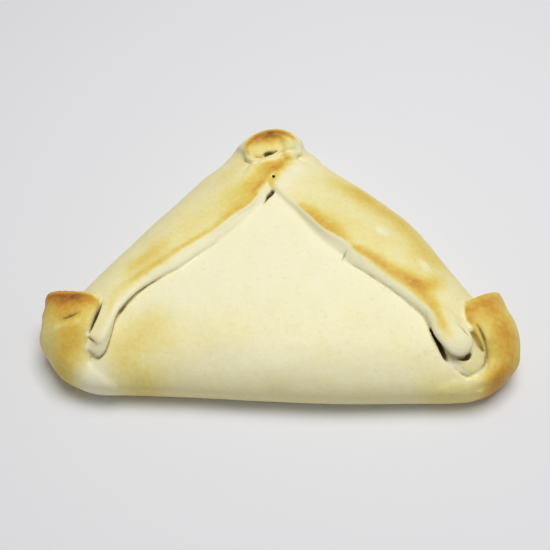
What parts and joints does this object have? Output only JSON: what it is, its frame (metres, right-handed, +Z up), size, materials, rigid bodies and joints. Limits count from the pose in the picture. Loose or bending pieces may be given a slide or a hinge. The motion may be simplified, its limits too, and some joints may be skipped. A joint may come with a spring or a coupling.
{
  "type": "empanada",
  "caption": "Baked empanada: a three-sided parcel of pale dough with a straight fold at the front, two double-ply flaps over the top and three browned tips",
  "frame": {"origin": "Centre of the bounding box in plan, on the table that the empanada lies on", "axes": "+X along the front fold to the right as seen from the front, +Y from the front fold to the apex, +Z up"},
  "size_m": [0.1578, 0.1168, 0.0292],
  "materials": {
    "crust": "dry baked dough, browned on ridges and tips"
  },
  "bodies": {
    "root": {"empanada": "crust"}
  },
  "joints": []
}
